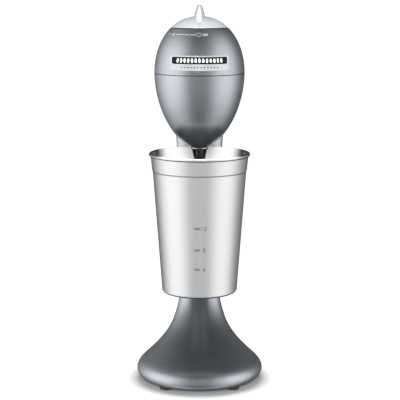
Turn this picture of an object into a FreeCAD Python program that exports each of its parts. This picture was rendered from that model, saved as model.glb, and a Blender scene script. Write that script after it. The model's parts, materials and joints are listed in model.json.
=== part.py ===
import FreeCAD
import Part
import math
import os

from FreeCAD import Matrix, Placement, Rotation, Vector

# A single-spindle milkshake mixer: a bell-shaped base with a column, an egg-shaped motor head with a speed
# dial on top, a spindle with an agitator, and a steel mixing cup held at its rim and under its rear edge.
# Sizes are in millimetres. +Z is up, the front faces -Y, and the origin is the centre of the base on the
# plane that the feet stand on. The head, the spindle and the cup share one vertical axis, at AXIS_Y.

# Head: an egg of revolution, split at a seam, with the dial as its top.
AXIS_Y = -14.5
EGG_Z = 327.6           # height of the egg's widest circle
EGG_RADIUS = 46.2
EGG_RISE = 57.5         # widest circle to the crown
EGG_DROP = 78.3         # widest circle to the egg's point
RISE_POWERS = (2.03, 2.19)
DROP_POWERS = (1.85, 1.8)
SHELL_WALL = 2.8
NOSE_Z = 252.6          # the egg's point is cut off flat here
SEAM_Z = 327.6
SEAM_GAP = 0.7
DIAL_Z = 373.9          # lower edge of the dial
DIAL_GAP = 0.7
DIAL_WALL = 2.4
DECK_Z = 367.5          # underside of the deck below the dial
BADGE_Z = (332.7, 347.5)
BADGE_HALF_WIDTH = 29.0

# Mixing cup.
CUP_Z = (99.0, 245.4)
CUP_RIM_RADIUS = 52.4
CUP_BEAD = 1.7          # radius of the rolled rim's section
CUP_FOOT_RADIUS = 39.2
CUP_STEP_RADIUS = 48.45
CUP_STEP_Z = 226.2      # the step that runs round the cup below its rim
CUP_SHEET = 0.8

# Base, feet and column.
BASE_RADIUS = 67.0
BASE_EDGE_Z = 3.8
CAST_WALL = 3.0
FOOT_SPOTS = [(34.5, 39.1), (-34.5, 39.1), (-34.5, -39.1), (34.5, -39.1)]
FOOT_RADIUS = 7.0
PLATE_Z = (3.6, 5.1)
GLAND_Z = 45.0
GLAND_BOSS_Y = (56.0, 62.8)
GLAND_BORE = 3.5

# Cup switch: a button in the column that the seated cup's wall presses, and the microswitch behind it.
BUTTON_Z = 120.0
BUTTON_RADIUS = 3.5
BUTTON_TRAVEL = 3.0
BUTTON_TIP_Y = 26.4
BUTTON_END_Y = 47.7
BUSHING_Y = (37.2, 43.0)
LEVER_PIVOT = (48.6, 108.5)     # y and z of the switch lever's pin

# Motor and spindle.
SHAFT_RADIUS = 4.0
SPINDLE_RADIUS = 3.6
RUNNING_GAP = 0.05
FIT_GAP = 0.03
STACK_Z = (295.0, 323.0)
STACK_RADIUS = 31.0
ARMATURE_RADIUS = 17.0
AIR_GAP = 0.6
TIE_CIRCLE = 24.5       # the motor's two long screws, to its left and right
SCREW_RADIUS = 1.9
LEDGE_Z = 268.0
LOWER_BRACKET_Z = 274.0
UPPER_BRACKET_Z = 347.0
COMMUTATOR_Z = (331.0, 342.0)
COMMUTATOR_RADIUS = 9.0
BOARD_Z = 355.0
BOARD_RADIUS = 33.0
DIAL_SHAFT_RADIUS = 3.0
AGITATOR_Z = 125.0
AGITATOR_RADIUS = 13.0

# The stand's level sections from the base up: height, half width, front and rear.
BELL = [
    (3.8, 60.0, -60.0, 60.0), (6.8, 64.2, -64.2, 64.2), (11.0, 66.3, -66.3, 66.3), (15.5, 66.3, -66.3, 66.3),
    (20.0, 64.0, -63.8, 65.0), (24.5, 59.3, -57.6, 63.8), (29.0, 53.4, -48.8, 62.8),
    (34.0, 47.2, -37.5, 62.2), (39.5, 41.0, -24.5, 61.8), (46.0, 35.1, -9.5, 61.5), (54.0, 29.8, 5.0, 61.2),
    (63.0, 26.1, 17.5, 61.0), (75.0, 22.8, 27.8, 61.0), (92.0, 20.7, 34.0, 61.2), (115.0, 20.0, 37.6, 61.8),
    (150.0, 20.1, 39.2, 62.8), (190.0, 21.4, 39.7, 64.0), (225.0, 23.3, 40.0, 65.0), (250.0, 25.0, 39.6, 65.4),
]
# The neck that bends forward into the head: centre y and z, tilt in degrees, half width, half depth.
NECK = [
    (50.3, 270.0, 10.0, 25.8, 12.9), (44.5, 288.0, 28.0, 25.8, 13.1), (34.0, 301.0, 50.0, 25.2, 13.5),
    (20.0, 308.0, 70.0, 24.5, 14.0), (5.0, 311.0, 80.0, 24.0, 14.0),
]

UP = Vector(0, 0, 1)
REARWARD = Vector(0, 1, 0)
ON_AXIS = Vector(0, AXIS_Y, 0)


# ---- shapes ----

def at_axis(shape):
    """Moves a shape drawn about the Z axis to the head's axis."""
    shape.translate(ON_AXIS)
    return shape


def cylinder(radius, z, x=0.0, y=0.0):
    return Part.makeCylinder(radius, z[1] - z[0], Vector(x, y, z[0]), UP)


def ring(outer, inner, z, x=0.0, y=0.0):
    return cylinder(outer, z, x, y).cut(cylinder(inner, (z[0] - 1, z[1] + 1), x, y))


def rod(radius, y, x, z):
    """A cylinder that runs front to back between two y values."""
    return Part.makeCylinder(radius, y[1] - y[0], Vector(x, y[0], z), REARWARD)


def block(x, y, z):
    """A box from three (low, high) pairs."""
    return Part.makeBox(x[1] - x[0], y[1] - y[0], z[1] - z[0], Vector(x[0], y[0], z[0]))


def joined(shapes):
    first, rest = shapes[0], shapes[1:]
    return first.fuse(rest).removeSplitter() if rest else first


def around(radius, count, start=0.0):
    """Points evenly spaced on a circle about the Z axis, start in degrees."""
    for i in range(count):
        angle = math.radians(start + 360.0 * i / count)
        yield radius * math.cos(angle), radius * math.sin(angle)


def spun(shape, angle):
    """A copy of a shape, turned about the Z axis by degrees."""
    copy = shape.copy()
    copy.rotate(Vector(0, 0, 0), UP, angle)
    return copy


def arc_block(radii, angles, z):
    """Part of a ring between two radii, two angles in degrees and two heights."""
    sweep = angles[1] - angles[0]
    outer = Part.makeCylinder(radii[1], z[1] - z[0], Vector(0, 0, z[0]), UP, sweep)
    return spun(outer.cut(cylinder(radii[0], (z[0] - 1, z[1] + 1))), angles[0])


def turned(edges):
    """A solid of revolution about the Z axis from a closed outline in the XZ plane."""
    face = Part.Face(Part.Wire(Part.__sortEdges__(edges)))
    solid = face.revolve(Vector(0, 0, 0), UP, 360)
    if solid.Volume < 0:
        solid.reverse()
    return solid


def lines(points):
    """Straight edges through (radius, height) points."""
    corners = [Vector(r, 0, z) for r, z in points]
    return [Part.LineSegment(a, b).toShape() for a, b in zip(corners, corners[1:])]


def bend(*points):
    """An arc through three (radius, height) points."""
    a, b, c = [Vector(r, 0, z) for r, z in points]
    return Part.Arc(a, b, c).toShape()


def rounded_slab(half_width, z, corner, y):
    """A slab with a round-cornered front, from one y value to the other."""
    slab = block((-half_width, half_width), y, z)
    edges = [e for e in slab.Edges if abs(e.BoundBox.YLength - (y[1] - y[0])) < 1e-6]
    return slab.makeFillet(corner, edges)


def rounded_post(x, y, z, corner):
    """A box with rounded upright edges."""
    post = block(x, y, z)
    return post.makeFillet(corner, [e for e in post.Edges if abs(e.BoundBox.ZLength - (z[1] - z[0])) < 1e-6])


# ---- the egg ----

def egg_half(z):
    """The egg's reach, powers and direction above or below its widest circle."""
    return (EGG_RISE, RISE_POWERS, 1) if z >= EGG_Z else (EGG_DROP, DROP_POWERS, -1)


def egg_radius(z, inset=0.0):
    """The radius at a height of the egg, or of the surface inset below it."""
    reach, (n, m), _ = egg_half(z)
    u = min(abs(z - EGG_Z) / (reach - inset), 1.0)
    return (EGG_RADIUS - inset) * (1.0 - u ** n) ** (1.0 / m)


def egg_edge(z_low, z_high, inset=0.0):
    """The egg's outline between two heights."""
    def angle(z):
        reach, _, way = egg_half(z)
        return way * math.asin(min(abs(z - EGG_Z) / (reach - inset), 1.0))

    start, end = angle(z_low), angle(z_high)
    count = max(3, round(math.degrees(end - start) / 8.0))
    points = []
    for i in range(count + 1):
        a = start + (end - start) * i / count
        z = EGG_Z + ((EGG_RISE if a >= 0 else EGG_DROP) - inset) * math.sin(a)
        points.append(Vector(egg_radius(z, inset), 0, z))
    curve = Part.BSplineCurve()
    curve.interpolate(points)
    return curve.toShape()


def egg_core(z_low, z_high, inset=0.0):
    """Everything inside the surface inset below the egg's, between two heights."""
    top, low = egg_radius(z_high, inset), egg_radius(z_low, inset)
    ends = [(low, z_low), (0, z_low), (0, z_high)]
    if top > 0.01:
        ends.append((top, z_high))
    return turned([egg_edge(z_low, z_high, inset)] + lines(ends))


def egg_layer(z_low, z_high, outer_inset, inner_inset):
    """A layer of the egg's wall, cut off flat at two heights."""
    edges = [egg_edge(z_low, z_high, outer_inset), egg_edge(z_low, z_high, inner_inset)]
    for z in (z_low, z_high):
        edges += lines([(egg_radius(z, outer_inset), z), (egg_radius(z, inner_inset), z)])
    return turned(edges)


# ---- stand ----

def section(y, z, tilt, half_width, half_depth):
    """An elliptical wire centred at (0, y, z), tipped forward by tilt degrees."""
    place = Placement(Vector(0, y, z), Rotation(Vector(1, 0, 0), tilt)).toMatrix()
    stretch = Matrix(half_width, 0, 0, 0, 0, half_depth, 0, 0, 0, 0, 1, 0, 0, 0, 0, 1)
    circle = Part.Circle(Vector(0, 0, 0), UP, 1.0).toShape()
    return Part.Wire([circle.transformGeometry(place * stretch)])


def bell_sections(inset, drop):
    """The bell's and column's sections, inset sideways and lowered where the wall slopes."""
    for z, half_width, front, rear in BELL:
        lowered = z - drop if half_width < BASE_RADIUS - 1 and z > BELL[3][0] else z
        yield section((front + rear) / 2, lowered, 0.0, half_width - inset, (rear - front) / 2 - inset)


def stand_surface():
    """Everything inside the stand's outer surface, up into the head."""
    return Part.makeLoft(list(bell_sections(0.0, 0.0)) + [section(*s) for s in NECK], True, False, False, 5)


def stand_hollow():
    """The stand's inside, open at the bottom and closed before the head."""
    mouth = BELL[0][1] - CAST_WALL
    below = section(0, BASE_EDGE_Z - 3, 0, mouth, mouth)
    neck = [section(y, z, tilt, w - CAST_WALL, d - CAST_WALL) for y, z, tilt, w, d in NECK[:3]]
    return Part.makeLoft([below] + list(bell_sections(CAST_WALL, 2.0)) + neck, True, False, False, 5)


REST_FACE_Y = 32.5
REST_SEAT_Z = (83.0, 99.0)
REST_SCREW_Z = 89.0
HOOK_FACE_Y = 38.0
HOOK_SEAT_Z = (251.0, 265.0)
HOOK_SCREW_Z = 259.0
HEAD_BOLT = (12.0, 306.0)       # half spacing and height
SWITCH_X = 5.0
SWITCH_Y = (49.0, 58.0)
SWITCH_Z = (105.5, 127.0)
SWITCH_SCREW_Z = (114.0, 124.0)


def stand_casting():
    outside = stand_surface()
    casting = outside.cut(stand_hollow())

    inner = [cylinder(6.0, (PLATE_Z[1], 40), x, y) for x, y in FOOT_SPOTS]
    inner += [block((-12, 12), (REST_FACE_Y, 41), REST_SEAT_Z)]
    inner += [block((-SWITCH_X, SWITCH_X), (SWITCH_Y[1], 61), SWITCH_Z)]
    bosses = joined(inner).common(outside)
    seats = [
        block((-10, 10), (HOOK_FACE_Y, 44), HOOK_SEAT_Z),
        rod(9.5, (BUSHING_Y[0], 42.5), 0, BUTTON_Z),
        rod(8.0, GLAND_BOSS_Y, 0, GLAND_Z),
    ]
    casting = casting.fuse([bosses] + seats)

    cuts = [block((-12.4, 12.4), (20, REST_FACE_Y), (REST_SEAT_Z[0] - 1, REST_SEAT_Z[1] + 1))]
    cuts += [rod(6.0 + FIT_GAP, (30, 50), 0, BUTTON_Z)]
    cuts += [cylinder(SCREW_RADIUS + FIT_GAP, (0, 18), x, y) for x, y in FOOT_SPOTS]
    for x in (-7.0, 7.0):
        cuts.append(rod(SCREW_RADIUS + FIT_GAP, (30, 39.5), x, REST_SCREW_Z))
    cuts += [rod(SCREW_RADIUS + FIT_GAP, (35, 46), x, HOOK_SCREW_Z) for x in (-5.0, 5.0)]
    cuts += [rod(1.25 + FIT_GAP, (50, 60.4), 0, z) for z in SWITCH_SCREW_Z]
    cuts += [rod(2.5 + FIT_GAP, (20, 42), x, HEAD_BOLT[1]) for x in (-HEAD_BOLT[0], HEAD_BOLT[0])]
    cuts += [rod(5.0, (20, 44), 0, 301.0), rod(5.0 + FIT_GAP, (50, 70), 0, GLAND_Z)]
    head = at_axis(egg_core(NOSE_Z, EGG_Z + EGG_RISE, -0.1))
    return casting.cut([head] + cuts)


def stand_parts():
    feet = {}
    screws = []
    for i, (x, y) in enumerate(FOOT_SPOTS):
        foot = cylinder(FOOT_RADIUS, (0, PLATE_Z[0]), x, y)
        rims = [e for e in foot.Edges if e.BoundBox.ZMax < 0.01]
        foot = foot.makeFillet(0.9, rims)
        foot = foot.cut(cylinder(SCREW_RADIUS + FIT_GAP, (-1, 5), x, y))
        feet["foot_%d" % (i + 1)] = foot.cut(cylinder(3.7, (-1, 2.0), x, y))
        head = cylinder(3.4, (0.9, 2.0), x, y).cut(block((x - 2.6, x + 2.6), (y - 0.4, y + 0.4), (0, 1.4)))
        screws.append(head.fuse(cylinder(SCREW_RADIUS, (2.0, 16.0), x, y)))

    plate = cylinder(BELL[0][1] - CAST_WALL - 0.6, PLATE_Z)
    plate = plate.cut([cylinder(SCREW_RADIUS + FIT_GAP, (0, 9), x, y) for x, y in FOOT_SPOTS])
    plate = plate.cut([cylinder(3.0 + FIT_GAP, (0, 9))])
    ballast = ring(38.0, 3.0 + FIT_GAP, (PLATE_Z[1], 14.0))
    ballast = ballast.makeChamfer(0.8, [e for e in ballast.Edges if abs(e.BoundBox.XLength - 76.0) < 0.1])
    bolt = cylinder(5.0, (PLATE_Z[0] - 1.6, PLATE_Z[0])).fuse(cylinder(3.0, (PLATE_Z[0], 13.0)))
    bolt = bolt.cut(block((-3.6, 3.6), (-0.5, 0.5), (0, PLATE_Z[0] - 0.9)))

    near, far = GLAND_BOSS_Y
    collars = [rod(7.0, (near - 2.3, near), 0, GLAND_Z), rod(7.0, (far, far + 1.2), 0, GLAND_Z)]
    gland = joined([rod(5.0, (near - 2.3, far + 1.2), 0, GLAND_Z)] + collars)
    gland = gland.cut(rod(GLAND_BORE, (50, 70), 0, GLAND_Z))
    return dict(
        feet, stand_casting=stand_casting(), foot_screws=Part.makeCompound(screws), bottom_plate=plate,
        ballast_weight=ballast, ballast_bolt=bolt, cord_gland=gland,
    )


def cup_holder_parts():
    shelf = rounded_slab(15.0, (94.5, 97.5), 1.4, (4.0, REST_FACE_Y))
    flange = block((-11, 11), (REST_FACE_Y - 3, REST_FACE_Y), (84.0, 96.0))
    rib = Part.makePolygon([Vector(-2, y, z) for y, z in ((10, 95), (30, 85), (30, 95), (10, 95))])
    rib = Part.Face(rib).extrude(Vector(4, 0, 0))
    rest = joined([shelf, flange, rib])
    rest_screws = []
    for x in (-7.0, 7.0):
        rest = rest.cut(rod(SCREW_RADIUS + FIT_GAP, (20, 40), x, REST_SCREW_Z))
        head = rod(3.2, (REST_FACE_Y - 5.0, REST_FACE_Y - 3), x, REST_SCREW_Z)
        rest_screws.append(head.fuse(rod(SCREW_RADIUS, (REST_FACE_Y - 3, 39.0), x, REST_SCREW_Z)))
    pad = rounded_post((-13, 13), (6.0, 27.0), (97.5, 98.9), 2.0)

    plate = rounded_slab(8.0, (248.0, 264.0), 1.5, (HOOK_FACE_Y - 2.6, HOOK_FACE_Y))
    prongs = []
    for side in (-1, 1):
        x = sorted((3.5 * side, 7.5 * side))
        arm = block(x, (28.9, HOOK_FACE_Y - 1), (248.0, 250.4))
        prongs += [arm, block(x, (28.9, 31.3), (240.0, 250.4))]
    hook = joined([plate] + prongs)
    crown = [e for e in hook.Edges if e.BoundBox.YMax < 28.91 and e.BoundBox.ZMin > 250.3]
    hook = hook.makeFillet(1.8, crown)
    hook_screws = []
    for x in (-5.0, 5.0):
        hook = hook.cut(rod(SCREW_RADIUS + FIT_GAP, (30, 40), x, HOOK_SCREW_Z))
        head = rod(2.9, (HOOK_FACE_Y - 4.4, HOOK_FACE_Y - 2.6), x, HOOK_SCREW_Z)
        hook_screws.append(head.fuse(rod(SCREW_RADIUS, (HOOK_FACE_Y - 2.6, 45.0), x, HOOK_SCREW_Z)))
    return dict(
        cup_rest=rest, cup_rest_pad=pad, cup_rest_screws=Part.makeCompound(rest_screws),
        cup_hook=hook, cup_hook_screws=Part.makeCompound(hook_screws),
    )


def switch_parts():
    bushing = rod(6.0, BUSHING_Y, 0, BUTTON_Z).fuse(rod(8.2, (BUSHING_Y[0] - 1.4, BUSHING_Y[0]), 0, BUTTON_Z))
    bushing = bushing.cut(rod(BUTTON_RADIUS + RUNNING_GAP, (30, 50), 0, BUTTON_Z))

    stem = rod(BUTTON_RADIUS, (BUTTON_TIP_Y, BUTTON_END_Y - 0.6), 0, BUTTON_Z)
    tip = [e for e in stem.Edges if e.BoundBox.YMax < BUTTON_TIP_Y + 0.01]
    stem = stem.makeFillet(2.4, tip)
    collar_y = BUSHING_Y[1] + BUTTON_TRAVEL + 0.1
    button = joined([stem, rod(5.2, (collar_y, collar_y + 1.1), 0, BUTTON_Z), rod(2.0, (46, BUTTON_END_Y), 0, BUTTON_Z)])

    body = block((-SWITCH_X, SWITCH_X), SWITCH_Y, SWITCH_Z)
    ears = [block(x, (47.2, SWITCH_Y[0]), (106.5, 110.5)) for x in ((-SWITCH_X, -3.2), (3.2, SWITCH_X))]
    body = body.fuse(ears)
    pin = Part.makeCylinder(0.8, 9.6, Vector(-4.8, *LEVER_PIVOT), Vector(1, 0, 0))
    pin_hole = Part.makeCylinder(0.8 + RUNNING_GAP, 12, Vector(-6, *LEVER_PIVOT), Vector(1, 0, 0))
    well = Part.makeCylinder(1.3, 6.3, Vector(-3.15, *LEVER_PIVOT), Vector(1, 0, 0))
    body = body.cut([pin_hole, well])
    screws = []
    for z in SWITCH_SCREW_Z:
        body = body.cut([rod(1.25 + FIT_GAP, (48, 59), 0, z), rod(2.5, (48, 50.7), 0, z)])
        screws.append(rod(2.3, (49.4, 50.7), 0, z).fuse(rod(1.25, (50.7, 60.2), 0, z)))
    terminals = [block((x - 0.4, x + 0.4), (51, 54), (100.5, SWITCH_Z[0])) for x in (-3.0, 3.0)]

    leaf = block((-2.5, 2.5), (48.0, 48.4), (LEVER_PIVOT[1], 124.0))
    lever = joined([pin, leaf])
    return dict(
        button_bushing=bushing, cup_button=button, switch_body=body.removeSplitter(),
        switch_screws=Part.makeCompound(screws), switch_terminals=Part.makeCompound(terminals),
        switch_lever=lever,
    )


# ---- head ----

LUG_CIRCLE = 38.3
LUG_ANGLES = (40, 140, 270)


def lug_points():
    for angle in LUG_ANGLES:
        yield LUG_CIRCLE * math.cos(math.radians(angle)), LUG_CIRCLE * math.sin(math.radians(angle))


def lower_head_shell():
    top = SEAM_Z - SEAM_GAP / 2
    shell = egg_layer(NOSE_Z, top, 0.0, SHELL_WALL)
    fill = egg_core(NOSE_Z, 258.0, 0.2).fuse(ring(12.5, 6.0, (256.0, 265.5)))
    ledge = egg_core(LEDGE_Z, LOWER_BRACKET_Z, 1.0).cut(cylinder(21.0, (260, 280)))
    lugs = joined([cylinder(4.8, (315.0, top), x, y) for x, y in lug_points()])
    lugs = lugs.common(egg_core(312.0, top, 1.0))
    shell = shell.fuse([fill, ledge, lugs])
    cuts = [cylinder(9.0, (258.0, 270.0)), cylinder(5.4, (250.0, 260.0))]
    cuts += [cylinder(1.6, (310, 330), x, y) for x, y in lug_points()]
    shell = at_axis(shell.cut(cuts))
    holes = [rod(2.5 + FIT_GAP, (10, 40), x, HEAD_BOLT[1]) for x in (-HEAD_BOLT[0], HEAD_BOLT[0])]
    holes += [rod(5.0, (10, 40), 0, 301.0)]
    flats = [rod(5.2, (15, 24.6), x, HEAD_BOLT[1]) for x in (-HEAD_BOLT[0], HEAD_BOLT[0])]
    return shell.cut(holes + flats)


def upper_head_shell():
    low, top = SEAM_Z + SEAM_GAP / 2, DIAL_Z - DIAL_GAP
    shell = egg_layer(low, top, 0.0, SHELL_WALL)
    deck = egg_core(DECK_Z, DECK_Z + 2.5, 1.0)
    posts = joined([cylinder(3.2, (BOARD_Z + 1.6, DECK_Z + 1), x, y) for x, y in around(27.0, 3, 30)])
    lugs = joined([cylinder(4.8, (low, 338.0), x, y) for x, y in lug_points()]).common(egg_core(low, 340.0, 1.0))
    shell = shell.fuse([deck, posts, lugs])
    cuts = [cylinder(4.0, (360, 375))]
    cuts += [cylinder(1.3, (350, 364), x, y) for x, y in around(27.0, 3, 30)]
    cuts += [cylinder(1.5, (320, 336), x, y) for x, y in lug_points()]
    slot = rounded_slab(1.3, (343.0, 358.0), 1.2, (25.0, 60.0))
    cuts += [spun(slot, angle) for angle in range(-40, 41, 10)]
    return at_axis(shell.cut(cuts))


def badge_parts():
    """The badge lies on the upper shell with its glue line between them."""
    low, top = BADGE_Z
    plate = egg_layer(low - 1, top + 1, -1.2, -0.08)
    face = rounded_slab(BADGE_HALF_WIDTH, BADGE_Z, 2.5, (-70, -5))
    window = rounded_slab(BADGE_HALF_WIDTH - 1.6, (low + 6.6, top - 1.3), 1.6, (-70, -5))
    opening = rounded_slab(BADGE_HALF_WIDTH - 1.6 + FIT_GAP, (low + 6.6 - FIT_GAP, top - 1.3 + FIT_GAP), 1.6, (-70, -5))
    panel = egg_layer(low - 1, top + 1, -0.9, -0.08).common(window)
    return dict(badge_frame=at_axis(plate.common(face).cut(opening)), badge_panel=at_axis(panel))


def head_fasteners():
    bolts = []
    for x in (-HEAD_BOLT[0], HEAD_BOLT[0]):
        head = rod(4.6, (20.6, 24.6), x, HEAD_BOLT[1]).cut(rod(2.2, (20, 23), x, HEAD_BOLT[1]))
        bolts.append(head.fuse(rod(2.5, (24.6, 40.0), x, HEAD_BOLT[1])))
    screws = [cylinder(3.0, (313.0, 315.0), x, y).fuse(cylinder(1.45, (315.0, 334.0), x, y)) for x, y in lug_points()]
    return dict(head_bolts=Part.makeCompound(bolts), shell_screws=at_axis(Part.makeCompound(screws)))


def dial_parts():
    crown = EGG_Z + EGG_RISE
    fin_sections = ((378.0, 6.6, 21.0), (386.5, 5.2, 19.2), (392.5, 3.7, 16.2), (396.2, 2.3, 13.2))
    fin = Part.makeLoft([section(0, z, 0, w, d) for z, w, d in fin_sections], True, False, False, 3)
    fin = fin.makeFillet(0.9, [e for e in fin.Edges if e.BoundBox.ZMin > 396.1])
    cap = egg_core(DIAL_Z, crown).fuse(fin)
    cap = cap.cut(egg_core(DIAL_Z - 1, crown - DIAL_WALL, DIAL_WALL))
    cap = cap.fuse(cylinder(6.0, (371.0, 384.5)))
    cap = cap.cut(cylinder(DIAL_SHAFT_RADIUS + FIT_GAP, (360, 380.0)))
    shaft = cylinder(DIAL_SHAFT_RADIUS, (358.0, 379.8)).cut(block((-5, 5), (2.2, 5), (371.0, 381.0)))
    pointer = egg_layer(375.2, 379.4, -0.35, -0.03).common(block((-0.9, 0.9), (-40, 0), (370, 390)))
    return {"dial_cap": at_axis(cap), "dial_shaft": at_axis(shaft), "dial_pointer": at_axis(pointer)}


# ---- motor ----

def tie_points():
    return ((-TIE_CIRCLE, 0.0), (TIE_CIRCLE, 0.0))


def motor_parts():
    tie_hole = [cylinder(SCREW_RADIUS + 0.15, (283.0, 360.0), x, y) for x, y in tie_points()]
    lower = LOWER_BRACKET_Z
    bracket = joined([
        cylinder(28.1, (lower, lower + 3)), cylinder(10.0, (lower, lower + 9)),
        *[cylinder(3.0, (lower, STACK_Z[0]), x, y) for x, y in tie_points()],
    ])
    vents = [cylinder(4.2, (260, 280), x, y) for x, y in around(17.0, 6, 30)]
    bracket = bracket.cut([cylinder(7.0, (260, 290))] + vents + tie_hole)

    pockets = []
    for start in (25, 130, 205, 310):
        pockets.append(arc_block((19.5, 27.0), (start, start + 25), (STACK_Z[0] - 1, STACK_Z[1] + 1)))
    stack = ring(STACK_RADIUS, ARMATURE_RADIUS + AIR_GAP, STACK_Z).cut(pockets + tie_hole)
    loop = arc_block((20.0, 26.5), (27, 153), (STACK_Z[0] - 5.5, STACK_Z[1] + 5.5))
    loop = loop.cut(arc_block((19.0, 28.0), (48, 132), (STACK_Z[0] - 0.3, STACK_Z[1] + 0.3)))
    coils = Part.makeCompound([loop, spun(loop, 180)])

    upper = UPPER_BRACKET_Z
    top_bracket = joined([
        cylinder(29.0, (upper, upper + 3)), cylinder(9.6, (upper - 3.5, upper + 3)),
        *[cylinder(3.4, (STACK_Z[1], upper + 3), x, y) for x, y in tie_points()],
    ])
    openings = [cylinder(4.6, (340, 360), x, y) for x, y in around(19.0, 6, 30)]
    top_bracket = top_bracket.cut([cylinder(6.6, (330, 360))] + openings + tie_hole)

    ties = []
    for x, y in tie_points():
        head = cylinder(3.4, (upper + 3, upper + 5.4), x, y)
        ties.append(head.fuse(cylinder(SCREW_RADIUS, (284.0, upper + 3), x, y)))

    low, high = COMMUTATOR_Z
    holder = block((-4.0, 4.0), (10.2, 24.0), (low + 2, high - 2))
    holder = holder.fuse(block((-3.0, 3.0), (17.5, 23.0), (high - 2, upper)))
    holder = holder.cut(block((-2.6, 2.6), (9.0, 23.0), (low + 3.4, high - 3.4)))
    brush = block((-2.5, 2.5), (8.0, 19.0), (low + 3.5, high - 3.5))
    brush = brush.cut(cylinder(COMMUTATOR_RADIUS + RUNNING_GAP, (320, 350)))
    holders = Part.makeCompound([holder, spun(holder, 180)])
    brushes = Part.makeCompound([brush, spun(brush, 180)])
    bore = SHAFT_RADIUS + RUNNING_GAP
    parts = dict(
        lower_motor_bracket=bracket, field_stack=stack, field_coils=coils, upper_motor_bracket=top_bracket,
        motor_screws=Part.makeCompound(ties), brush_holders=holders, carbon_brushes=brushes,
        nose_bushing=ring(9.0 - FIT_GAP, bore, (258.0, 265.0)),
        lower_bearing=ring(7.0 - FIT_GAP, bore, (lower + 0.6, lower + 8.4)),
        upper_bearing=ring(6.6 - FIT_GAP, bore, (upper - 3.3, upper + 2.6)),
    )
    return {name: at_axis(shape) for name, shape in parts.items()}


def control_parts():
    board = cylinder(BOARD_RADIUS, (BOARD_Z, BOARD_Z + 1.6))
    holes = [cylinder(1.4, (350, 360), x, y) for x, y in around(27.0, 3, 30)]
    board = board.cut(holes + [cylinder(4.4, (350, 360))])
    base = BOARD_Z + 1.6
    selector = rounded_post((-8.5, 8.5), (-8.5, 8.5), (base, base + 6.5), 1.2)
    selector = selector.fuse(cylinder(4.6, (base + 6.5, base + 9.0)))
    selector = selector.cut(cylinder(DIAL_SHAFT_RADIUS + RUNNING_GAP, (350, 370)))
    capacitor = Part.makeCylinder(4.0, 14.0, Vector(-23, -15, base + 4.05), Vector(0, 1, 0))
    triac = block((13.0, 23.0), (-7.0, -2.6), (base, base + 8.5))
    choke = ring(6.0, 2.4, (base, base + 7.0), 14.0, -19.0)
    screws = []
    for x, y in around(27.0, 3, 30):
        screws.append(cylinder(2.4, (BOARD_Z - 1.4, BOARD_Z), x, y).fuse(cylinder(1.2, (BOARD_Z, 362.0), x, y)))
    parts = dict(
        control_board=board, speed_selector=selector, board_capacitor=capacitor, board_triac=triac,
        board_choke=choke, board_screws=Part.makeCompound(screws),
    )
    return {name: at_axis(shape) for name, shape in parts.items()}


def rotor_parts():
    core_z = (STACK_Z[0] + 1, STACK_Z[1] - 1)
    slots = [spun(block((10.5, 20), (-1.2, 1.2), (290, 330)), 30 * i) for i in range(12)]
    core = ring(ARMATURE_RADIUS, SHAFT_RADIUS + 0.02, core_z).cut(slots)
    wires = [spun(block((11.0, 15.8), (-1.0, 1.0), (288.5, 329.5)), 30 * i) for i in range(12)]
    ends = [ring(15.8, 6.0, z) for z in ((288.5, core_z[0] - 0.3), (core_z[1] + 0.3, 329.5))]
    winding = joined(ends + wires)

    commutator = ring(COMMUTATOR_RADIUS, SHAFT_RADIUS + 0.02, COMMUTATOR_Z)
    grooves = [spun(block((8.3, 10), (-0.25, 0.25), (330, 343)), 30 * i + 15) for i in range(12)]
    commutator = commutator.cut(grooves)

    disc = ring(20.5, 4.02, (286.6, 287.8)).fuse(ring(8.8, 4.02, (283.8, 287.0)))
    blades = [spun(block((12.0, 20.0), (-0.6, 0.6), (279.2, 286.8)), 36 * i) for i in range(10)]
    fan = disc.fuse(blades)

    shaft = cylinder(SHAFT_RADIUS, (256.0, 352.0))
    spindle = cylinder(SPINDLE_RADIUS, (119.0, 256.0))
    bore = SPINDLE_RADIUS + 0.02
    collar = turned(
        lines([(bore, 252.0), (bore, 238.5), (5.4, 238.5)]) + [bend((5.4, 238.5), (5.75, 238.65), (5.9, 239.0))]
        + lines([(5.9, 239.0), (8.3, 248.6)]) + [bend((8.3, 248.6), (9.3, 250.2), (8.5, 252.0))]
        + lines([(8.5, 252.0), (bore, 252.0)]))

    hub = ring(5.2, bore, (120.8, 129.5))
    blade = ring(AGITATOR_RADIUS, bore, (AGITATOR_Z - 0.7, AGITATOR_Z + 0.7))
    notches = [cylinder(2.4, (110, 140), x, y) for x, y in around(AGITATOR_RADIUS + 0.8, 6)]
    knobs = [Part.makeSphere(2.1, Vector(x, y, AGITATOR_Z)) for x, y in around(AGITATOR_RADIUS - 3.4, 6, 30)]
    agitator = joined([hub, blade.cut(notches)] + knobs)
    screw = cylinder(5.0, (117.0, 119.0)).fuse(cylinder(SPINDLE_RADIUS + 1.4, (119.0, 120.8)))
    screw = screw.cut([cylinder(SPINDLE_RADIUS + 0.02, (119.0, 121.0)), block((-4, 4), (-0.5, 0.5), (116, 117.8))])
    screw = screw.makeChamfer(0.5, [e for e in screw.Edges if e.BoundBox.ZMax < 117.01 and e.BoundBox.XLength > 6])
    parts = dict(
        armature_shaft=shaft, armature_core=core, armature_winding=winding, commutator=commutator,
        cooling_fan=fan, spindle=spindle, spindle_collar=collar, agitator=agitator, agitator_screw=screw,
    )
    return {name: at_axis(shape) for name, shape in parts.items()}


# ---- cup ----

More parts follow.
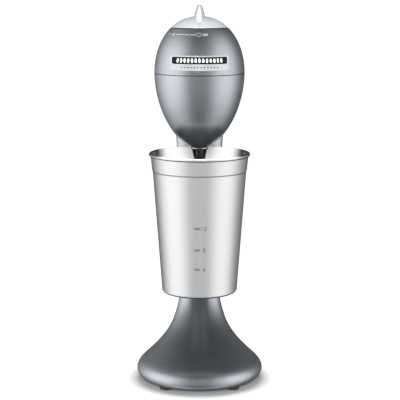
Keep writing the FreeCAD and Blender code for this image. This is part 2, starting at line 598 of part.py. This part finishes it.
def mixing_cup():
    """A drawn cup of thin sheet, with a recessed bottom, a step below the rim and a rolled bead."""
    low, top = CUP_Z
    bead_r, bead_z = CUP_RIM_RADIUS - CUP_BEAD, top - CUP_BEAD
    foot, sheet, corner = CUP_FOOT_RADIUS, CUP_SHEET, 3.0
    turn = corner * (1 - math.sqrt(0.5))
    step, step_z = CUP_STEP_RADIUS, CUP_STEP_Z
    wall = [(foot, low + corner), (step, step_z), (step + 0.6, step_z + 1.4), (step + 1.65, 237.5),
            (bead_r, bead_z - 1.0)]
    inside = [(r - sheet, z) for r, z in wall[1:-1]] + [(bead_r - CUP_BEAD, bead_z)]
    edges = lines([(0, low + 2), (31.0, low + 2), (33.0, low), (foot - corner, low)])
    edges += [bend((foot - corner, low), (foot - turn, low + turn), (foot, low + corner))]
    edges += lines(wall + [(bead_r, bead_z)])
    edges += lines([(bead_r, bead_z), inside[-1]] + inside[-2::-1] + [(foot - sheet, low + corner)])
    reach = corner - sheet
    inner_turn = reach * (1 - math.sqrt(0.5))
    edges += [bend((foot - sheet, low + corner), (foot - sheet - inner_turn, low + sheet + inner_turn),
                   (foot - corner, low + sheet))]
    edges += lines([(foot - corner, low + sheet), (33.35, low + sheet), (31.35, low + 2 + sheet),
                    (0, low + 2 + sheet), (0, low + 2)])
    bead = Part.makeTorus(bead_r, CUP_BEAD, Vector(0, 0, bead_z), UP)
    return at_axis(joined([turned(edges), bead]))


def main():
    parts = dict(mixing_cup=mixing_cup(), lower_head_shell=lower_head_shell(), upper_head_shell=upper_head_shell())
    for group in (stand_parts, cup_holder_parts, switch_parts, badge_parts, head_fasteners, dial_parts,
                  motor_parts, control_parts, rotor_parts):
        parts.update(group())
    os.makedirs("parts", exist_ok=True)
    for node, shape in sorted(parts.items()):
        if not shape.isValid() or not shape.Solids:
            raise ValueError("%s is not a valid solid" % node)
        shape.exportStep("parts/%s.step" % node)
        print(node, len(shape.Solids), round(shape.Volume))


main()
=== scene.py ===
import json
import math

import bmesh
import bpy
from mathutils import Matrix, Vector
from mathutils.bvhtree import BVHTree


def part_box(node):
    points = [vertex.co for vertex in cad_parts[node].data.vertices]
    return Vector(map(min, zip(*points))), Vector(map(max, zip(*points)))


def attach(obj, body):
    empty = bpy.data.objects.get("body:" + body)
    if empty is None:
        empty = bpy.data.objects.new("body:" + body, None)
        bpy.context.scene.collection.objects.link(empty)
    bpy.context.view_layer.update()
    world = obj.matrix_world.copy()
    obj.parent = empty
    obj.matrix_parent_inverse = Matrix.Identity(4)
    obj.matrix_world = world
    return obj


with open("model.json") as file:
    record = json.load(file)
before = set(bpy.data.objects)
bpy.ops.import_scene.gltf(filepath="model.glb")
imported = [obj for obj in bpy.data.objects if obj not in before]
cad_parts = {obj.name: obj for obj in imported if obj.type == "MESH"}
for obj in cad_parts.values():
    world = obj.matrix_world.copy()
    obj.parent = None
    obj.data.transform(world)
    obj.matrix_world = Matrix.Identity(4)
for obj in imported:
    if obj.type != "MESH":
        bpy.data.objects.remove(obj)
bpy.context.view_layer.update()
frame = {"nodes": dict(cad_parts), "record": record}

# All lengths are in metres, in the CAD's frame: +Z up, the front faces -Y, the floor is Z = 0.
NODES = frame["nodes"]
SCENE = bpy.context.scene
MM = 0.001
# The spindle's axis is upright, at X = 0 and this Y. The head, the dial and the cup are round about it.
AXIS_Y = sum(corner.y for corner in map(Vector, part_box("spindle"))) / 2


# ---- materials ----

def opaque(color):
    return (*color, 1.0)


def darker(color, share):
    return tuple(c * share for c in color)


class Material:
    """A Principled material with a short way to add and link nodes."""

    def __init__(self, name, color, metallic, roughness, **values):
        self.data = bpy.data.materials.new(name)
        self.data.use_nodes = True
        self.tree = self.data.node_tree
        self.shader = self.tree.nodes["Principled BSDF"]
        self.color = color
        self.base_roughness = roughness
        self.set("Base Color", opaque(color))
        self.set("Metallic", metallic)
        self.set("Roughness", roughness)
        for socket, value in values.items():
            self.set(socket.replace("_", " "), value)
        self.data.diffuse_color = opaque(color)
        coords = self.tree.nodes.new("ShaderNodeTexCoord")
        self.place = coords.outputs["Object"]
        self.facing = coords.outputs["Normal"]
        self.bumped = None

    def set(self, socket, value):
        self.shader.inputs[socket].default_value = value

    def link(self, output, socket):
        self.tree.links.new(output, socket)

    def node(self, kind, inputs=(), **settings):
        made = self.tree.nodes.new(kind)
        for name, value in settings.items():
            setattr(made, name, value)
        for key, value in dict(inputs).items():
            if isinstance(value, bpy.types.NodeSocket):
                self.link(value, made.inputs[key])
            else:
                made.inputs[key].default_value = value
        return made

    def math(self, operation, *values):
        return self.node("ShaderNodeMath", dict(enumerate(values)), operation=operation).outputs[0]

    def vector_math(self, operation, *values, output="Vector"):
        made = self.node("ShaderNodeVectorMath", dict(enumerate(values)), operation=operation)
        return made.outputs[output]

    def parts(self, vector):
        """The X, Y and Z of a vector."""
        return self.node("ShaderNodeSeparateXYZ", {"Vector": vector}).outputs

    def blend(self, share, first, second):
        """A colour that goes from the first to the second as the share goes from 0 to 1."""
        inputs = {"Factor": share, "A": first, "B": second}
        return self.node("ShaderNodeMix", inputs, data_type="RGBA").outputs["Result"]

    def scaled(self, scale, place=None):
        """The object's coordinates, stretched by a factor along each axis."""
        inputs = {"Vector": place or self.place, "Scale": scale}
        return self.node("ShaderNodeMapping", inputs).outputs["Vector"]

    def noise(self, scale, detail=2.0, place=None, roughness=0.5):
        inputs = {"Vector": place or self.place, "Scale": scale, "Detail": detail, "Roughness": roughness}
        return self.node("ShaderNodeTexNoise", inputs).outputs["Fac"]

    def span(self, value, low, high, start=0.3, end=0.7):
        """A value between start and end, mapped to low..high and clamped."""
        inputs = {"Value": value, "From Min": start, "From Max": end, "To Min": low, "To Max": high}
        return self.node("ShaderNodeMapRange", inputs).outputs["Result"]

    def vary_roughness(self, value, spread):
        low = max(self.base_roughness - spread, 0.02)
        high = min(self.base_roughness + spread, 1.0)
        self.link(self.span(value, low, high), self.shader.inputs["Roughness"])

    def vary_color(self, value, other):
        """Blends the base colour towards another by a noise value."""
        color = self.blend(self.span(value, 0.0, 1.0), opaque(self.color), opaque(other))
        self.link(color, self.shader.inputs["Base Color"])
        return color

    def bump(self, height, strength, distance):
        made = self.node("ShaderNodeBump", {"Height": height, "Strength": strength, "Distance": distance})
        if self.bumped:
            self.link(self.bumped, made.inputs["Normal"])
        self.bumped = made.outputs["Normal"]
        self.link(self.bumped, self.shader.inputs["Normal"])


def about_axis(m, around, height):
    """Coordinates that run round the spindle's axis and up it, so a noise becomes turned or drawn lines."""
    x, y, z = m.parts(m.place)
    y = m.math("SUBTRACT", y, AXIS_Y)
    square = m.math("ADD", m.math("MULTIPLY", x, x), m.math("MULTIPLY", y, y))
    reach = m.math("POWER", square, 0.5)
    lift = m.math("ADD", m.math("MULTIPLY", z, height), m.math("MULTIPLY", reach, height * 0.5))
    inputs = {"X": m.math("MULTIPLY", x, around), "Y": m.math("MULTIPLY", y, around), "Z": lift}
    return m.node("ShaderNodeCombineXYZ", inputs).outputs[0]


def facing_in(m):
    """From 0 on surfaces that face away from the spindle's axis to 1 on those that face it."""
    reach = m.vector_math("SUBTRACT", m.place, (0, AXIS_Y, 0))
    away = m.vector_math("NORMALIZE", m.vector_math("MULTIPLY", reach, (1, 1, 0)))
    facing = m.vector_math("DOT_PRODUCT", away, m.facing, output="Value")
    return m.math("MULTIPLY_ADD", facing, -0.5, 0.5)


def metallic_paint(name, color, deep, roughness):
    """Silver-grey paint with fine metal flakes under a thin clear coat."""
    m = Material(name, color, 0.94, roughness, Coat_Weight=0.2, Coat_Roughness=0.1)
    flakes = m.noise(5200.0, 1.0)
    m.vary_color(m.noise(2600.0, 2.0), deep)
    m.vary_roughness(m.noise(60.0, 3.0), 0.035)
    m.bump(flakes, 0.08, 0.00002)
    m.bump(m.noise(420.0, 2.0), 0.04, 0.00003)
    return m.data


def satin(name, color, roughness):
    """Fine satin metal that is part silver paint."""
    m = Material(name, color, 0.3, roughness)
    m.vary_roughness(m.noise(90.0, 3.0), 0.04)
    m.vary_color(m.noise(3200.0, 2.0), darker(color, 0.94))
    m.bump(m.noise(1500.0, 1.0), 0.05, 0.00001)
    return m.data


# The cup's inner wall gets a painted light between these heights, and a painted dark reflection at its left
# and right ends, between these distances from the middle. What faces down gets painted shade between these
# values of the normal's Z.
PAINTED_LIGHT_HEIGHTS = (0.200, 0.236)
PAINTED_REFLECTION_ENDS = (0.035, 0.044)
PAINTED_SHADE_FACING = (-0.2, -0.6)
# Colours for the painted light, the painted dark reflection and the painted shade on the cup.
PAINTED_LIGHT_STEEL = (0.93, 0.93, 0.92)
PAINTED_DARK_REFLECTION = (0.03, 0.03, 0.03)
PAINTED_UNDER_SHADE = (0.05, 0.05, 0.05)


def drawn_steel(name, color, roughness, metallic):
    """The cup's sheet, with fine lines round it, a painted light on its inner wall and rim, painted dark
    reflections at the inner wall's ends, and painted shade on its undersides.
    """
    m = Material(name, color, metallic, roughness, Anisotropic=0.7, Anisotropic_Rotation=0.25)
    m.set("Specular Tint", (0.0, 0.0, 0.0, 1.0))
    lines = about_axis(m, 6.0, 12000.0)
    grain = m.noise(1.0, 3.0, lines, 0.65)
    m.vary_roughness(grain, 0.03)
    m.bump(grain, 0.04, 0.00004)
    outer = m.vary_color(m.noise(1.0, 2.0, m.scaled((1.0, 1.0, 0.35), lines)), darker(color, 0.975))

    # Painted light and shade: the inner wall and upward faces near the top get a painted light, dark at their
    # ends as a painted reflection, and what faces down gets painted shade.
    x, _, z = m.parts(m.place)
    up = m.parts(m.facing)["Z"]
    inward = m.math("MAXIMUM", facing_in(m), up)
    bright = m.math("MULTIPLY", inward, m.span(z, 0.0, 1.0, *PAINTED_LIGHT_HEIGHTS))
    ends = m.span(m.math("ABSOLUTE", x), 0.0, 1.0, *PAINTED_REFLECTION_ENDS)
    inner = m.blend(ends, opaque(PAINTED_LIGHT_STEEL), opaque(PAINTED_DARK_REFLECTION))
    wall = m.blend(m.span(bright, 0.0, 1.0), outer, inner)
    whole = m.blend(m.span(up, 0.0, 1.0, *PAINTED_SHADE_FACING), wall, opaque(PAINTED_UNDER_SHADE))
    m.link(whole, m.shader.inputs["Base Color"])
    # Where the painted light lies, the steel is made less metallic, so the painted light shows evenly.
    m.link(m.span(bright, metallic, 0.15), m.shader.inputs["Metallic"])
    tangent = m.node("ShaderNodeTangent", direction_type="RADIAL", axis="Z")
    m.link(tangent.outputs[0], m.shader.inputs["Tangent"])
    return m.data


def ground(name, color, roughness, metallic=1.0):
    """Turned, ground or plated metal, with faint rings and stains."""
    m = Material(name, color, metallic, roughness)
    m.vary_roughness(m.noise(1.0, 3.0, m.scaled((180.0, 180.0, 2600.0))), 0.08)
    m.vary_color(m.noise(90.0, 4.0), darker(color, 0.82))
    m.bump(m.noise(900.0, 3.0), 0.10, 0.00003)
    return m.data


def cast(name, color, roughness):
    """Bare cast metal, with a rough skin."""
    m = Material(name, color, 1.0, roughness)
    m.vary_roughness(m.noise(120.0, 4.0), 0.10)
    m.vary_color(m.noise(240.0, 4.0), darker(color, 0.7))
    m.bump(m.noise(700.0, 4.0), 0.5, 0.00015)
    return m.data


def moulded(name, color, roughness, grain=2400.0, bump=0.25, **values):
    """Plastic, rubber or thick print, with a fine grain."""
    m = Material(name, color, 0.0, roughness, **values)
    m.vary_roughness(m.noise(150.0, 3.0), 0.08)
    m.vary_color(m.noise(320.0, 3.0), tuple(min(c * 1.5 + 0.004, 1.0) for c in color))
    m.bump(m.noise(grain, 2.0), bump, 0.00005)
    return m.data


def wound(name, color, pitch):
    """Varnished copper wire, seen as fine turns one above the other."""
    m = Material(name, color, 0.9, 0.35, Coat_Weight=0.4)
    inputs = {"Vector": m.place, "Scale": 1.0 / pitch, "Distortion": 1.2}
    turns = m.node("ShaderNodeTexWave", inputs, bands_direction="Z")
    m.vary_color(turns.outputs["Fac"], darker(color, 0.45))
    m.bump(turns.outputs["Fac"], 0.6, 0.0002)
    return m.data


def stacked(name, color):
    """The edges of stacked steel sheets."""
    m = Material(name, color, 0.9, 0.45)
    sheets = m.node("ShaderNodeTexWave", {"Vector": m.place, "Scale": 620.0}, bands_direction="Z")
    m.vary_color(sheets.outputs["Fac"], darker(color, 0.5))
    m.bump(sheets.outputs["Fac"], 0.4, 0.0001)
    m.vary_roughness(m.noise(200.0, 3.0), 0.1)
    return m.data


PAINT = metallic_paint("body_paint", (0.405, 0.430, 0.460), (0.365, 0.390, 0.420), 0.31)
DIAL = satin("dial_metal", (0.59, 0.60, 0.62), 0.30)
CHROME = ground("chrome", (0.78, 0.78, 0.80), 0.10)
BADGE_METAL = satin("badge_metal", (0.40, 0.405, 0.41), 0.26)
BADGE_BLACK = moulded("badge_black", (0.004, 0.004, 0.0045), 0.32, 3000.0, 0.08, Specular_IOR_Level=0.08)
CUP_STEEL = drawn_steel("cup_steel", (0.54, 0.545, 0.55), 0.22, 0.66)
# A darker steel for the cup's raised marks: painted shade.
MARK_PAINTED_SHADE = ground("mark_steel", (0.25, 0.25, 0.255), 0.45, 0.6)
# A darker copy of the chrome for the spindle collar: a painted dark reflection.
COLLAR_DARK_REFLECTION = ground("collar_chrome", (0.42, 0.42, 0.43), 0.14)
POINTER_GREY = moulded("pointer_grey", (0.26, 0.26, 0.27), 0.5)
SPINDLE_STEEL = ground("spindle_steel", (0.62, 0.62, 0.63), 0.20)
ZINC = ground("zinc_steel", (0.58, 0.58, 0.56), 0.38)
RUBBER = moulded("rubber", (0.014, 0.014, 0.014), 0.72, 1600.0, 0.4)
IRON = cast("cast_iron", (0.17, 0.17, 0.17), 0.6)
ALUMINIUM = cast("bracket_aluminium", (0.62, 0.63, 0.64), 0.42)
BLACK_PLASTIC = moulded("black_plastic", (0.022, 0.022, 0.023), 0.48)
FERRITE = moulded("ferrite", (0.06, 0.06, 0.063), 0.6)
BOARD = moulded("board_green", (0.03, 0.15, 0.06), 0.35, 500.0, 0.3, Coat_Weight=0.3)
COPPER = wound("copper", (0.62, 0.27, 0.12), 0.0011)
BRONZE = ground("bronze", (0.52, 0.34, 0.18), 0.4)
LAMINATION = stacked("lamination_steel", (0.33, 0.33, 0.34))
PRINT_WHITE = moulded("print_white", (0.36, 0.36, 0.36), 0.5, 2600.0, 0.05)
BAR_WHITE = moulded("bar_white", (0.62, 0.62, 0.62), 0.4, 2600.0, 0.05)
# A near-white colour for the dial's polished edge: a painted highlight.
RIM_PAINTED_HIGHLIGHT = ground("rim_painted_highlight", (0.86, 0.86, 0.87), 0.45, 0.2)

LOOKS = {
    "body_paint": PAINT, "dial_metal": DIAL, "chrome": CHROME, "badge_black": BADGE_BLACK,
    "cup_steel": CUP_STEEL, "spindle_steel": SPINDLE_STEEL, "rubber": RUBBER, "zinc_steel": ZINC,
    "cast_iron": IRON, "bracket_aluminium": ALUMINIUM, "bracket_paint": PAINT,
    "lamination_steel": LAMINATION, "copper": COPPER, "bronze": BRONZE, "black_plastic": BLACK_PLASTIC,
    "ferrite": FERRITE, "board_green": BOARD,
}
# Pieces whose finish differs from the rest of their slot; the spindle collar's darker chrome is a painted
# dark reflection.
OWN_LOOKS = {"badge_frame": BADGE_METAL, "spindle_collar": COLLAR_DARK_REFLECTION, "dial_pointer": POINTER_GREY}
for part in frame["record"]["subparts"]:
    look = OWN_LOOKS.get(part["node"], LOOKS[part["material_slot"]])
    materials = NODES[part["node"]].data.materials
    materials.clear()
    materials.append(look)


# ---- marks that lie on the shells ----

SUNK = 0.1 * MM         # how deep a thin mark goes into the surface it lies on
OUTSIDE = 200 * MM      # how far from the axis a ray for a mark starts, clear of every piece


def surface(node):
    """The surface of a CAD node as a tree for ray casts."""
    mesh = bmesh.new()
    mesh.from_mesh(NODES[node].data)
    tree = BVHTree.FromBMesh(mesh)
    mesh.free()
    return tree


def laid_on(tree, radius, z):
    """Turns a point (along, up, out) into one on that surface, round the spindle's axis at height z."""

    def place(point):
        turn = point[0] / radius
        away = Vector((math.sin(turn), -math.cos(turn), 0))
        start = Vector((0, AXIS_Y, z + point[1])) + away * OUTSIDE
        hit, normal = tree.ray_cast(start, -away)[:2]
        return hit + normal * point[2]

    return place


def ribbon(mesh, path, widths, proud, sunk, closed=False):
    """Adds a flat raised ribbon along a path of (along, up) points, with chamfered edges."""
    rows = []
    count = len(path)
    for i, (u, v) in enumerate(path):
        before = path[(i - 1) % count] if closed or i else path[i]
        after = path[(i + 1) % count] if closed or i < count - 1 else path[i]
        side = Vector((before[1] - after[1], after[0] - before[0])).normalized()
        half = widths[i] / 2
        inner = half - min(half * 0.4, proud * 0.5)
        right = [(inner, proud), (half, proud * 0.5), (half, -sunk)]
        section = [(-s, w) for s, w in reversed(right)] + right
        rows.append([mesh.verts.new((u + side.x * s, v + side.y * s, w)) for s, w in section])
    for i in range(count if closed else count - 1):
        this, following = rows[i], rows[(i + 1) % count]
        for k in range(6):
            n = (k + 1) % 6
            mesh.faces.new((this[k], this[n], following[n], following[k]))
    if not closed:
        mesh.faces.new(rows[0][::-1])
        mesh.faces.new(rows[-1])


def stroke(mesh, start, end, widths, proud, sunk):
    """Adds a straight raised ribbon that has these widths at even steps from start to end."""
    steps = len(widths) - 1
    path = [tuple(a + (b - a) * i / steps for a, b in zip(start, end)) for i in range(steps + 1)]
    ribbon(mesh, path, widths, proud, sunk)


def dot(mesh, at, radius, proud, sunk):
    """Adds a raised dot, as a short ribbon as wide as a circle."""
    turns = [math.radians(15 + 25 * i) for i in range(7)]
    path = [(at[0], at[1] - radius * math.cos(a)) for a in turns]
    ribbon(mesh, path, [2 * radius * math.sin(a) for a in turns], proud, sunk)


def letters(mesh, text, at, height, proud, sunk):
    """Adds raised plain characters, centred on (along, up)."""
    curve = bpy.data.curves.new("characters", "FONT")
    curve.body = text
    curve.extrude = 0.5
    holder = bpy.data.objects.new("characters", curve)
    SCENE.collection.objects.link(holder)
    made = holder.evaluated_get(bpy.context.evaluated_depsgraph_get()).to_mesh()
    first = len(mesh.verts)
    mesh.from_mesh(made)
    bpy.data.objects.remove(holder)
    mesh.verts.ensure_lookup_table()
    added = mesh.verts[first:]
    low, high = [Vector([end(v.co[k] for v in added) for k in range(3)]) for end in (min, max)]
    scale = height / (high.y - low.y)
    for vert in added:
        u, v, w = vert.co - (low + high) / 2
        vert.co = (at[0] + u * scale, at[1] + v * scale, proud if w > 0 else -sunk)
    bmesh.ops.remove_doubles(mesh, verts=added, dist=height * 0.002)


def add_piece(name, mesh, place, look, body):
    for vert in mesh.verts:
        vert.co = place(vert.co)
    bmesh.ops.recalc_face_normals(mesh, faces=mesh.faces[:])
    data = bpy.data.meshes.new(name)
    mesh.to_mesh(data)
    mesh.free()
    data.materials.append(look)
    piece = bpy.data.objects.new(name, data)
    SCENE.collection.objects.link(piece)
    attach(piece, body)


def add_badge_marks():
    """A plain row of bright bars on the badge's dark panel, and small dark dots on the strip below it."""
    low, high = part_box("badge_panel")
    radius = AXIS_Y - low.y
    middle = (low.z + high.z) / 2
    strip = (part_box("badge_frame")[0].z + low.z) / 2
    bar_count, bar_pitch, bar_half = 13, 3.8 * MM, 2.0 * MM
    bar_widths = [width * MM for width in (1.3, 2.1, 2.2, 2.2, 2.2, 2.1, 1.3)]
    dot_count, dot_pitch, dot_radius = 12, 3.3 * MM, 0.65 * MM

    bars = bmesh.new()
    for i in range(bar_count):
        u = (i - (bar_count - 1) / 2) * bar_pitch
        stroke(bars, (u, -bar_half), (u, bar_half), bar_widths, 0.12 * MM, SUNK)
    on_panel = laid_on(surface("badge_panel"), radius, middle)
    add_piece("badge_bars", bars, on_panel, BAR_WHITE, "stand")

    dots = bmesh.new()
    for i in range(dot_count):
        dot(dots, ((i - (dot_count - 1) / 2) * dot_pitch, 0), dot_radius, 0.08 * MM, SUNK)
    on_frame = laid_on(surface("badge_frame"), radius, strip)
    add_piece("badge_dots", dots, on_frame, BADGE_BLACK, "stand")


def add_dial_scale():
    """Prints on the shell under the dial: a ring and OFF at the front, a line with a tick, and a diamond."""
    radius = 34.4 * MM
    height = 367.6 * MM
    proud = 0.06 * MM

    def around(degrees):
        return radius * math.radians(degrees)

    prints = bmesh.new()
    ring_steps = 24
    turns = [2 * math.pi * i / ring_steps for i in range(ring_steps)]
    ring = [(around(-1) + 2.1 * MM * math.cos(a), 1.8 * MM * math.sin(a)) for a in turns]
    ribbon(prints, ring, [0.3 * MM] * ring_steps, proud, SUNK, closed=True)
    letters(prints, "OFF", (around(9.5), 0), 2.4 * MM, proud, SUNK)
    line = ((around(-44), 0.2 * MM), (around(-7), 0))
    stroke(prints, *line, [0.4 * MM] * 21, proud, SUNK)
    tick = ((around(-9.5), -1.2 * MM), (around(-5.5), 1.3 * MM))
    stroke(prints, *tick, [0.3 * MM] * 4, proud, SUNK)
    diamond = ((around(-49), -1.3 * MM), (around(-49), 1.3 * MM))
    stroke(prints, *diamond, [width * MM for width in (0.2, 1.2, 2.2, 1.2, 0.2)], proud, SUNK)
    far_line = ((around(-70), 0.2 * MM), (around(-55), 0.2 * MM))
    stroke(prints, *far_line, [0.35 * MM] * 11, proud, SUNK)
    on_shell = laid_on(surface("upper_head_shell"), radius, height)
    add_piece("dial_scale", prints, on_shell, PRINT_WHITE, "stand")


def add_dial_rim():
    """The polished edge round the foot of the dial, drawn in near white as a painted highlight."""
    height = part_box("dial_cap")[0].z + 0.5 * MM
    radius = 30 * MM
    steps = 96
    path = [(2 * math.pi * radius * i / steps, 0) for i in range(steps)]
    rim = bmesh.new()
    ribbon(rim, path, [0.55 * MM] * steps, 0.12 * MM, SUNK, closed=True)
    on_dial = laid_on(surface("dial_cap"), radius, height)
    add_piece("dial_rim", rim, on_dial, RIM_PAINTED_HIGHLIGHT, "dial")


def add_cup_marks():
    """Raised level marks on the front of the cup: a dash and a number of ounces for each, darker than the cup
    as painted shade on the raised marks.
    """
    tree = surface("mixing_cup")
    radius = 42.0 * MM
    proud, sunk = 0.4 * MM, 0.2 * MM
    dash = ((-5.2 * MM, 0), (0.6 * MM, 0))
    dash_widths = [width * MM for width in (1.2, 2.1, 2.1, 2.1, 2.1, 2.1, 1.2)]
    for number, height in (("12", 173.6 * MM), ("8", 151.0 * MM), ("4", 130.6 * MM)):
        mark = bmesh.new()
        stroke(mark, *dash, dash_widths, proud, sunk)
        letters(mark, number, (4.6 * MM, 0.1 * MM), 4.4 * MM, proud, sunk)
        on_cup = laid_on(tree, radius, height)
        add_piece("cup_mark_" + number, mark, on_cup, MARK_PAINTED_SHADE, "cup")


add_badge_marks()
add_dial_scale()
add_dial_rim()
add_cup_marks()


# ---- camera, lights and floor ----

CAMERA_AT = Vector((0.0005, -1.3994, 0.43))
CAMERA_PITCH = math.radians(9.606)
CAMERA_LENS = 121.71
LIT_POINT = (0.0, 0.0, 0.2)

# The studio's light by degrees round the object, from straight behind it, through its left, front and right.
ROUND = [
    (-180, 0.14), (-162, 0.15), (-150, 0.26), (-129, 0.65), (-114, 1.15), (-101, 1.5), (-89, 1.8), (-70, 1.8),
    (-60, 1.7), (-51, 1.5), (-43, 1.2), (-35, 0.86), (-27, 0.54), (-19, 0.38), (0, 0.33), (19, 0.38),
    (27, 0.56), (35, 0.9), (44, 1.2), (52, 1.45), (61, 1.6), (70, 1.65), (80, 1.6), (90, 1.4), (101, 1.05),
    (115, 0.48), (131, 0.18), (150, 0.12), (165, 0.12), (180, 0.14),
]
# And by degrees above the horizon.
RISE = [
    (-90, 0.4), (-79, 0.5), (-65, 0.46), (-53, 0.40), (-43, 0.48), (-35, 0.64), (-25, 0.86), (-15, 1.0),
    (20, 1.0), (38, 0.66), (50, 0.34), (62, 0.18), (75, 0.13), (90, 0.12),
]
# The side panels reach further up than the rest: this much, from this far sideways.
SIDE_REACH = 0.7
SIDE_FROM = (0.54, 0.78)
SIDE_FADE = 8.0     # they are at their full level an eighth of the way up


def add_camera():
    data = bpy.data.cameras.new("camera")
    data.lens = CAMERA_LENS
    data.sensor_width = 36.0
    camera = bpy.data.objects.new("camera", data)
    camera.location = CAMERA_AT
    camera.rotation_euler = (math.pi / 2 - CAMERA_PITCH, 0, 0)
    SCENE.collection.objects.link(camera)
    SCENE.camera = camera


def add_area(name, at, size, power):
    """A square light that points at the middle of the object and doesn't show in its metal."""
    data = bpy.data.lights.new(name, "AREA")
    data.size = size
    data.energy = power
    lamp = bpy.data.objects.new(name, data)
    lamp.location = at
    lamp.rotation_euler = (Vector(LIT_POINT) - Vector(at)).to_track_quat("-Z", "Y").to_euler()
    lamp.visible_glossy = False
    SCENE.collection.objects.link(lamp)


def add_world():
    """Two tall soft panels at the sides and a dim front, so that curved metal shows bright and dark bands."""
    world = bpy.data.worlds.new("studio")
    world.use_nodes = True
    SCENE.world = world
    tree = world.node_tree

    def math_node(operation, *values):
        made = tree.nodes.new("ShaderNodeMath")
        made.operation = operation
        for i, value in enumerate(values):
            if isinstance(value, bpy.types.NodeSocket):
                tree.links.new(value, made.inputs[i])
            else:
                made.inputs[i].default_value = value
        return made.outputs[0]

    def ramp(angle, levels):
        """Levels by degrees, for an angle in radians."""
        low, high = levels[0][0], levels[-1][0]
        share = math_node("MULTIPLY_ADD", angle, math.degrees(1) / (high - low), -low / (high - low))
        made = tree.nodes.new("ShaderNodeValToRGB")
        tree.links.new(share, made.inputs["Fac"])
        stops = made.color_ramp.elements
        stops[0].position = 0.0
        stops[0].color = opaque((levels[0][1],) * 3)
        stops[1].position = 1.0
        stops[1].color = opaque((levels[-1][1],) * 3)
        for degrees, level in levels[1:-1]:
            stops.new((degrees - low) / (high - low)).color = opaque((level,) * 3)
        return made.outputs["Color"]

    coords = tree.nodes.new("ShaderNodeTexCoord")
    parts = tree.nodes.new("ShaderNodeSeparateXYZ")
    tree.links.new(coords.outputs["Generated"], parts.inputs["Vector"])
    turn = math_node("ARCTAN2", parts.outputs["X"], math_node("MULTIPLY", parts.outputs["Y"], -1.0))
    lift = math_node("ARCSINE", parts.outputs["Z"])
    sideways = math_node("ABSOLUTE", parts.outputs["X"])
    low, high = SIDE_FROM
    side = math_node("MULTIPLY_ADD", sideways, 1 / (high - low), -low / (high - low))
    above = math_node("MULTIPLY", parts.outputs["Z"], SIDE_FADE)
    side = math_node("MINIMUM", math_node("MINIMUM", side, above), 1.0)
    level = math_node("MAXIMUM", ramp(lift, RISE), math_node("MULTIPLY", side, SIDE_REACH))
    background = tree.nodes["Background"]
    background.inputs["Color"].default_value = opaque((1.0, 1.0, 1.0))
    tree.links.new(math_node("MULTIPLY", ramp(turn, ROUND), level), background.inputs["Strength"])


FLOOR_RADIUS = 3.0
FLOOR_BEND = 1.0        # radius of the curve from the floor up to the wall
WALL_TOP = 5.0
# The floor glows little near the middle, where the lamps' shadow of the base shows, and fully further out: a
# painted edge to that shadow.
PAINTED_SHADOW_EDGE = (0.064, 0.082)     # the floor's own light grows between these distances from the middle
GLOW_AND_PAINTED_SHADOW = (0.03, 0.85)


def add_floor():
    """A plain pale floor that curves up into a round wall, and doesn't show in the object's metal. It glows
    less round the base, which paints the edge of the base's shadow.
    """
    profile = [(0.1, 0.0), (0.5, 0.0), (FLOOR_RADIUS, 0.0)]
    for i in range(1, 11):
        a = math.radians(9 * i)
        profile.append((FLOOR_RADIUS + FLOOR_BEND * math.sin(a), FLOOR_BEND * (1.0 - math.cos(a))))
    profile.append((FLOOR_RADIUS + FLOOR_BEND, WALL_TOP))
    steps = 96
    turns = [2 * math.pi * i / steps for i in range(steps)]
    mesh = bmesh.new()
    rows = [[mesh.verts.new((r * math.cos(a), r * math.sin(a), z)) for a in turns] for r, z in profile]
    middle = mesh.verts.new((0, 0, 0))
    for i in range(steps):
        k = (i + 1) % steps
        mesh.faces.new((middle, rows[0][i], rows[0][k]))
        for inner, outer in zip(rows, rows[1:]):
            mesh.faces.new((inner[i], outer[i], outer[k], inner[k]))
    data = bpy.data.meshes.new("floor")
    mesh.to_mesh(data)
    mesh.free()
    floor = bpy.data.objects.new("floor", data)
    SCENE.collection.objects.link(floor)
    for face in data.polygons:
        face.use_smooth = True
    m = Material("floor_white", (0.42, 0.42, 0.42), 0.0, 0.6)
    m.vary_roughness(m.noise(8.0), 0.05)
    m.set("Emission Color", opaque((1.0, 1.0, 1.0)))
    reach = m.vector_math("LENGTH", m.place, output="Value")
    # Painted shadow: the glow is low near the base and full further out.
    m.link(m.span(reach, *GLOW_AND_PAINTED_SHADOW, *PAINTED_SHADOW_EDGE), m.shader.inputs["Emission Strength"])
    data.materials.append(m.data)
    floor.visible_glossy = False
    floor.visible_diffuse = False
    floor.visible_shadow = False


add_camera()
add_world()
add_area("top_soft", (0.0, -0.2, 1.9), 0.7, 12)
add_area("front_soft", (0.0, -1.8, 0.7), 0.8, 50)
add_floor()
SCENE.view_settings.view_transform = "Standard"
